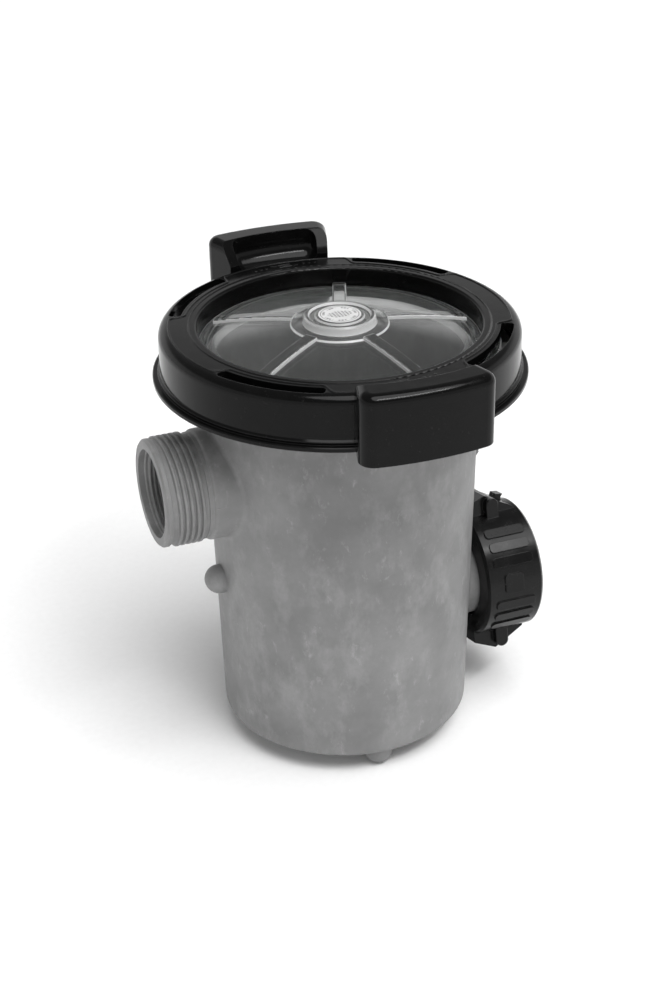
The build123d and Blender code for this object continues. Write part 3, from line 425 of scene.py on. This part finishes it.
class StrainerLook(bpy.types.PropertyGroup):
    """Colours and edge rounding of the strainer's materials."""
    pot_dark: tint("Pot, dark", "Darkest tone of the moulded pot", "6e6e6e")
    pot_light: tint("Pot, light", "Lightest tone of the moulded pot", "848484")
    pot_chalk: tint("Pot chalk", "Chalky streaks and scuffs", "b0b0b0")
    ring_black: tint("Ring", "Colour of the gloss ring", "080808")
    ring_film: tint("Ring film", "Colour where the ring is smeared", "0f0f0f")
    nut_black: tint("Nut", "Colour of the satin nut", "0a0a0a")
    nut_rub: tint("Nut rub", "Colour where the nut is rubbed", "141414")
    edge_wear: tint("Edge wear", "Colour of rubbed black edges and dust", "343434")
    lid_tint: tint("Lid tint", "Tint of the clear lid", "e6e8e7")
    basket_pale: tint("Basket", "Colour of the basket", "b6b7b6")
    basket_stain: tint("Basket stain", "Colour where the basket is stained", "8e8f8c")
    label_white: tint("Label", "Colour of the label's vinyl", "e2e2e2")
    paper: tint("Backdrop", "Colour of the backdrop paper", "f4f4f4")
    edge_round: FloatProperty(
        name="Edge round", description="Rounding of moulded edges in millimetres",
        default=0.45, min=0.05, max=2.0)
    ridge_width: FloatProperty(
        name="Parting ridge", description="Width of the mould's parting ridge on the inlet neck",
        default=mm(0.8), min=mm(0.2), max=mm(3.0), unit="LENGTH")


class StrainerStage(bpy.types.PropertyGroup):
    """Floor, lights and camera around the strainer."""
    floor_size: FloatProperty(
        name="Floor", description="Half the side of the floor", default=7.0, min=1.0, unit="LENGTH")
    sky_low: FloatProperty(
        name="Low sky", description="Strength of the studio light near the horizon", default=0.9, min=0.0)
    sky_high: FloatProperty(
        name="High sky", description="Strength of the studio light overhead", default=0.28, min=0.0)
    sun: FloatProperty(name="Sun", description="Strength of the broad key light", default=2.5, min=0.0)
    sun_spread: FloatProperty(
        name="Sun spread", description="Angle that the key light fills", default=math.radians(50),
        subtype="ANGLE")
    lens: FloatProperty(name="Lens", description="Focal length in millimetres", default=63.93, min=10.0)
    distance: FloatProperty(
        name="Distance", description="From the look-at point to the camera", default=1.01107,
        unit="LENGTH")
    aim_height: FloatProperty(
        name="Aim height", description="Height of the look-at point", default=0.09, unit="LENGTH")
    azimuth: FloatProperty(
        name="Azimuth", description="Camera's turn about the pot", default=math.radians(-21.74),
        subtype="ANGLE")
    elevation: FloatProperty(
        name="Elevation", description="Camera's height angle", default=math.radians(30.26),
        subtype="ANGLE")
    roll: FloatProperty(
        name="Roll", description="Camera's roll", default=math.radians(-0.83), subtype="ANGLE")
    shift_x: FloatProperty(
        name="Shift X", description="Camera's sideways shift, in sensor widths", default=-0.00968)
    shift_y: FloatProperty(
        name="Shift Y", description="Camera's upward shift, in sensor widths", default=0.05496)


def finish(material, *names):
    """Give one material to some of the carried-over nodes."""
    for name in names:
        slots = NODES[name].data.materials
        slots.clear()
        slots.append(material)


def new_piece(name, mesh, body, material):
    """Link a mesh as a piece that rides on a body and takes a slot's finish."""
    mesh.materials.append(material)
    piece = bpy.data.objects.new(name, mesh)
    bpy.context.scene.collection.objects.link(piece)
    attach(piece, body)
    return piece


def neck_radius(middle, start, stop):
    """Radius of the inlet neck, from the body's points in a stretch of X beside its centre height."""
    points = (vertex.co for vertex in NODES["strainer_body"].data.vertices)
    reach = [math.hypot(p.y, p.z - middle) for p in points if start < p.x < stop]
    return max(r for r in reach if r < mm(NECK_LIMIT_R))


def parting_ridge(name, side, radius, height, half):
    """Closed ridge along one side of the inlet neck, half round across and sunk a little into it."""
    start, stop = mm(RIDGE_START_X), mm(RIDGE_STOP_X)
    last = RIDGE_POINTS - 1
    shape = bmesh.new()
    rows = []
    for step in range(RIDGE_ROWS):
        x = start + (stop - start) * step / (RIDGE_ROWS - 1)
        row = []
        for point in range(RIDGE_POINTS):
            across = point * 2 / last - 1
            lift = math.cos(math.pi * across / 2) * half * 0.6
            row.append(shape.verts.new((x, side * (radius - mm(RIDGE_SINK) + lift), height + half * across)))
        rows.append(row)
    for near, far in zip(rows, rows[1:]):
        for a in range(last):
            shape.faces.new((near[a], near[a + 1], far[a + 1], far[a]))
        shape.faces.new((near[last], near[0], far[0], far[last]))
    shape.faces.new(rows[0])
    shape.faces.new(list(reversed(rows[-1])))
    bmesh.ops.recalc_face_normals(shape, faces=shape.faces)
    mesh = bpy.data.meshes.new(name)
    shape.to_mesh(mesh)
    shape.free()
    return mesh


class STRAINER_OT_pot(bpy.types.Operator):
    """Finish the pot and add the mould's parting ridges on its inlet neck"""
    bl_idname = "strainer.pot"
    bl_label = "Pot"

    def execute(self, context):
        look = context.scene.strainer_look
        material = moulded_polypropylene(look)
        finish(material, "strainer_body")
        height = MOUNTS["inlet_land"]["pos_m"][2]
        radius = neck_radius(height, mm(RIDGE_START_X), mm(NECK_ROUND_TO_X))
        for side, end in ((-1, "front"), (1, "rear")):
            name = "inlet_parting_ridge_" + end
            mesh = parting_ridge(name, side, radius, height, look.ridge_width / 2)
            new_piece(name, mesh, "housing", material)
        return {"FINISHED"}


class STRAINER_OT_lid(bpy.types.Operator):
    """Finish the clear lid and its printed label"""
    bl_idname = "strainer.lid"
    bl_label = "Lid and label"

    def execute(self, context):
        look = context.scene.strainer_look
        finish(clear_polycarbonate(look), "lid")
        finish(printed_vinyl(look), "lid_label")
        return {"FINISHED"}


class STRAINER_OT_ring(bpy.types.Operator):
    """Finish the lock ring and its handles"""
    bl_idname = "strainer.ring"
    bl_label = "Lock ring"

    def execute(self, context):
        finish(glossy_abs(context.scene.strainer_look), "lock_ring")
        return {"FINISHED"}


class STRAINER_OT_nut(bpy.types.Operator):
    """Finish both halves of the union nut"""
    bl_idname = "strainer.nut"
    bl_label = "Union nut"

    def execute(self, context):
        finish(satin_nylon(context.scene.strainer_look), "union_nut_front_half", "union_nut_rear_half")
        return {"FINISHED"}


class STRAINER_OT_basket(bpy.types.Operator):
    """Finish the basket and its bail"""
    bl_idname = "strainer.basket"
    bl_label = "Basket and bail"

    def execute(self, context):
        finish(pale_polypropylene(context.scene.strainer_look), "basket", "basket_bail")
        return {"FINISHED"}


class STRAINER_OT_seals(bpy.types.Operator):
    """Finish the lid seal and the union seal"""
    bl_idname = "strainer.seals"
    bl_label = "Seals"

    def execute(self, context):
        finish(moulded_nitrile(), "lid_seal", "union_seal")
        return {"FINISHED"}


def softbox(name, at, width, height, power):
    """Rectangular area light at a place, turned towards the middle of the strainer."""
    data = bpy.data.lights.new(name, "AREA")
    data.shape = "RECTANGLE"
    data.size = width
    data.size_y = height
    data.energy = power
    light = bpy.data.objects.new(name, data)
    bpy.context.scene.collection.objects.link(light)
    light.location = at
    light.rotation_mode = "QUATERNION"
    light.rotation_quaternion = (Vector(LIGHTS_AIM) - Vector(at)).to_track_quat("-Z", "Y")


class STRAINER_OT_stage(bpy.types.Operator):
    """Add the floor, the lights and the camera"""
    bl_idname = "strainer.stage"
    bl_label = "Stage"

    def execute(self, context):
        scene = context.scene
        stage = scene.strainer_stage
        low = CAD_BOX[0].z - mm(FLOOR_GAP)
        half = stage.floor_size
        mesh = bpy.data.meshes.new("floor")
        corners = [(-half, -half, low), (half, -half, low), (half, half, low), (-half, half, low)]
        mesh.from_pydata(corners, [], [(0, 1, 2, 3)])
        mesh.materials.append(paper_backdrop(scene.strainer_look))
        floor = bpy.data.objects.new("floor", mesh)
        scene.collection.objects.link(floor)

        world = bpy.data.worlds.new("studio")
        scene.world = world
        world.use_nodes = True
        tree = world.node_tree
        # White studio walls low down and a dim ceiling above them.
        ray = add(tree, "ShaderNodeSeparateXYZ", {
            "Vector": add(tree, "ShaderNodeTexCoord").outputs["Generated"]})
        level = add(tree, "ShaderNodeMapRange", {
            "Value": ray.outputs["Z"], "From Min": WALL_TOP, "From Max": CEILING_EDGE,
            "To Min": stage.sky_low, "To Max": stage.sky_high}, interpolation_type="SMOOTHSTEP")
        tree.nodes["Background"].inputs["Color"].default_value = (1, 1, 1, 1)
        tree.links.new(level.outputs["Result"], tree.nodes["Background"].inputs["Strength"])

        data = bpy.data.lights.new("sun", "SUN")
        data.energy = stage.sun
        data.angle = stage.sun_spread
        sun = bpy.data.objects.new("sun", data)
        scene.collection.objects.link(sun)
        sun.rotation_mode = "QUATERNION"
        sun.rotation_quaternion = Vector(SUN_HEADING).to_track_quat("-Z", "Y")
        softbox("strip_softbox", STRIP_PLACE, *STRIP_SIZE, STRIP_POWER)

        lens = bpy.data.cameras.new("camera")
        lens.lens = stage.lens
        lens.sensor_width = SENSOR_WIDTH
        lens.shift_x = stage.shift_x
        lens.shift_y = stage.shift_y
        camera = bpy.data.objects.new("camera", lens)
        scene.collection.objects.link(camera)
        reach = math.cos(stage.elevation)
        back = Vector((math.sin(stage.azimuth) * reach, -math.cos(stage.azimuth) * reach,
                       math.sin(stage.elevation)))
        camera.location = Vector((0, 0, stage.aim_height)) + back * stage.distance
        camera.rotation_mode = "QUATERNION"
        facing = (-back).to_track_quat("-Z", "Y")
        camera.rotation_quaternion = facing @ Quaternion((0, 0, 1), stage.roll)
        scene.camera = camera
        scene.view_settings.view_transform = "Standard"
        return {"FINISHED"}


OPERATORS = (STRAINER_OT_pot, STRAINER_OT_lid, STRAINER_OT_ring, STRAINER_OT_nut,
             STRAINER_OT_basket, STRAINER_OT_seals, STRAINER_OT_stage)


class STRAINER_PT_panel(bpy.types.Panel):
    """Strainer tab in the sidebar"""
    bl_idname = "STRAINER_PT_panel"
    bl_label = "Basket Strainer"
    bl_space_type = "VIEW_3D"
    bl_region_type = "UI"
    bl_category = "Strainer"

    def draw(self, context):
        for group in (context.scene.strainer_look, context.scene.strainer_stage):
            for name in group.__annotations__:
                self.layout.prop(group, name)
        for operator in OPERATORS:
            self.layout.operator(operator.bl_idname)


CLASSES = (StrainerLook, StrainerStage, *OPERATORS, STRAINER_PT_panel)


def register():
    for kind in CLASSES:
        bpy.utils.register_class(kind)
    bpy.types.Scene.strainer_look = PointerProperty(type=StrainerLook)
    bpy.types.Scene.strainer_stage = PointerProperty(type=StrainerStage)


def unregister():
    del bpy.types.Scene.strainer_stage
    del bpy.types.Scene.strainer_look
    for kind in reversed(CLASSES):
        bpy.utils.unregister_class(kind)


def main():
    """Build every piece."""
    register()
    bpy.ops.strainer.pot()
    bpy.ops.strainer.lid()
    bpy.ops.strainer.ring()
    bpy.ops.strainer.nut()
    bpy.ops.strainer.basket()
    bpy.ops.strainer.seals()
    bpy.ops.strainer.stage()


if __name__ == "__main__":
    main()
